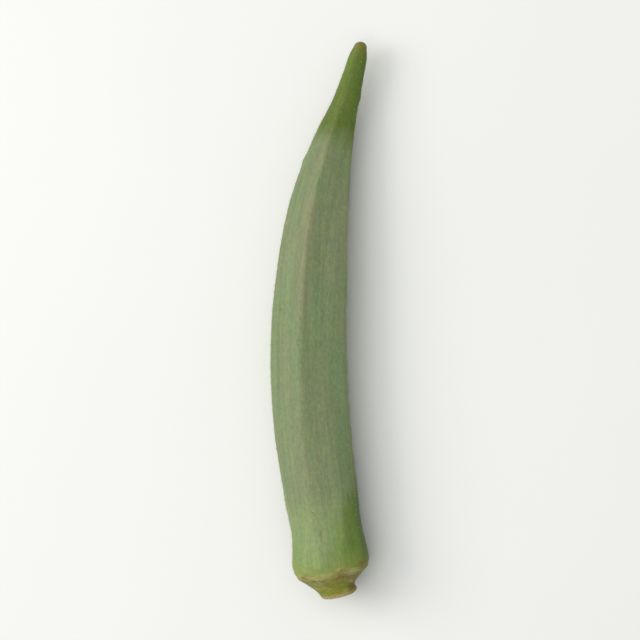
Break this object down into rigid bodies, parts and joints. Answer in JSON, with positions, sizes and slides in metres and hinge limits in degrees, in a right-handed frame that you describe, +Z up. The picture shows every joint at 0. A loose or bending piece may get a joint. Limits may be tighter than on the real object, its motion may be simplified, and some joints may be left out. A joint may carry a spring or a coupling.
{
  "type": "okra pod",
  "caption": "Fresh okra pod as picked: a bowed, five-ribbed green pod with a blunt tip, ringed shoulder and short cut stalk, lying on one face.",
  "frame": {"origin": "on the table, under the middle of the pod's box", "axes": "+Y towards the pod's tip, +Z up from the table it lies on, +X across it, to the right when the tip points away"},
  "size_m": [0.0226, 0.1274, 0.0174],
  "materials": {
    "pod_skin": null
  },
  "bodies": {
    "root": {"okra_pod": "pod_skin"}
  },
  "joints": []
}
